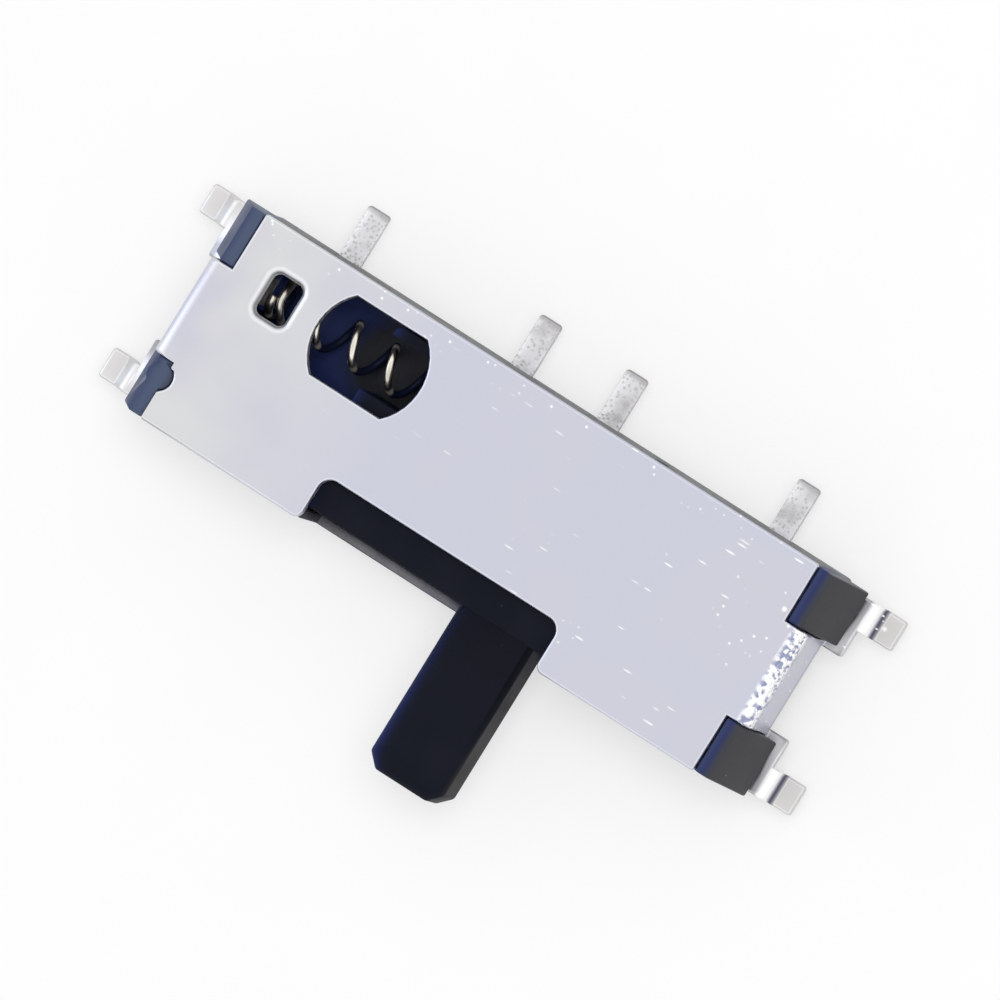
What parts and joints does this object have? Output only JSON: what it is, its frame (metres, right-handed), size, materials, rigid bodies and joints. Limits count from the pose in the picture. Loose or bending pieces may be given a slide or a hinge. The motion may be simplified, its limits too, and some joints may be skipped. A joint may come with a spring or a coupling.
{
  "type": "slide switch",
  "caption": "Low-profile surface-mount slide switch with a metal cover, a spring-return side lever, solder feet and locating pegs.",
  "frame": {"origin": "on the circuit board's surface under the middle of the body, between the two locating pegs", "axes": "+X along the body towards the end where the lever rests, +Y towards the terminals, +Z away from the board through the metal cover"},
  "size_m": [0.012, 0.0067, 0.0019],
  "materials": {
    "housing_plastic": "moulded dark slate plastic, matte, lightly scuffed underneath",
    "slider_plastic": "moulded near-black plastic, fine matte texture",
    "cover_steel": "plated sheet steel, satin, with fine specks and scratches",
    "terminal_plating": "bright plated copper alloy strip",
    "contact_brass": "spring bronze leaf, bare",
    "spring_steel": "drawn spring wire, bright"
  },
  "bodies": {
    "housing": {"base_housing": "housing_plastic", "metal_cover": "cover_steel", "contact_left": "terminal_plating", "contact_common": "terminal_plating", "contact_right": "terminal_plating", "return_spring": "spring_steel"},
    "slider": {"slider": "slider_plastic", "bridge_contact": "contact_brass"}
  },
  "joints": [
    {"name": "lever_slide", "type": "slide", "parent": "housing", "child": "slider", "axis": [-1, 0, 0], "range_m": [0, 0.0024], "stiffness_N_per_m": 300, "springref_m": -0.002, "deforming": ["return_spring"]}
  ]
}
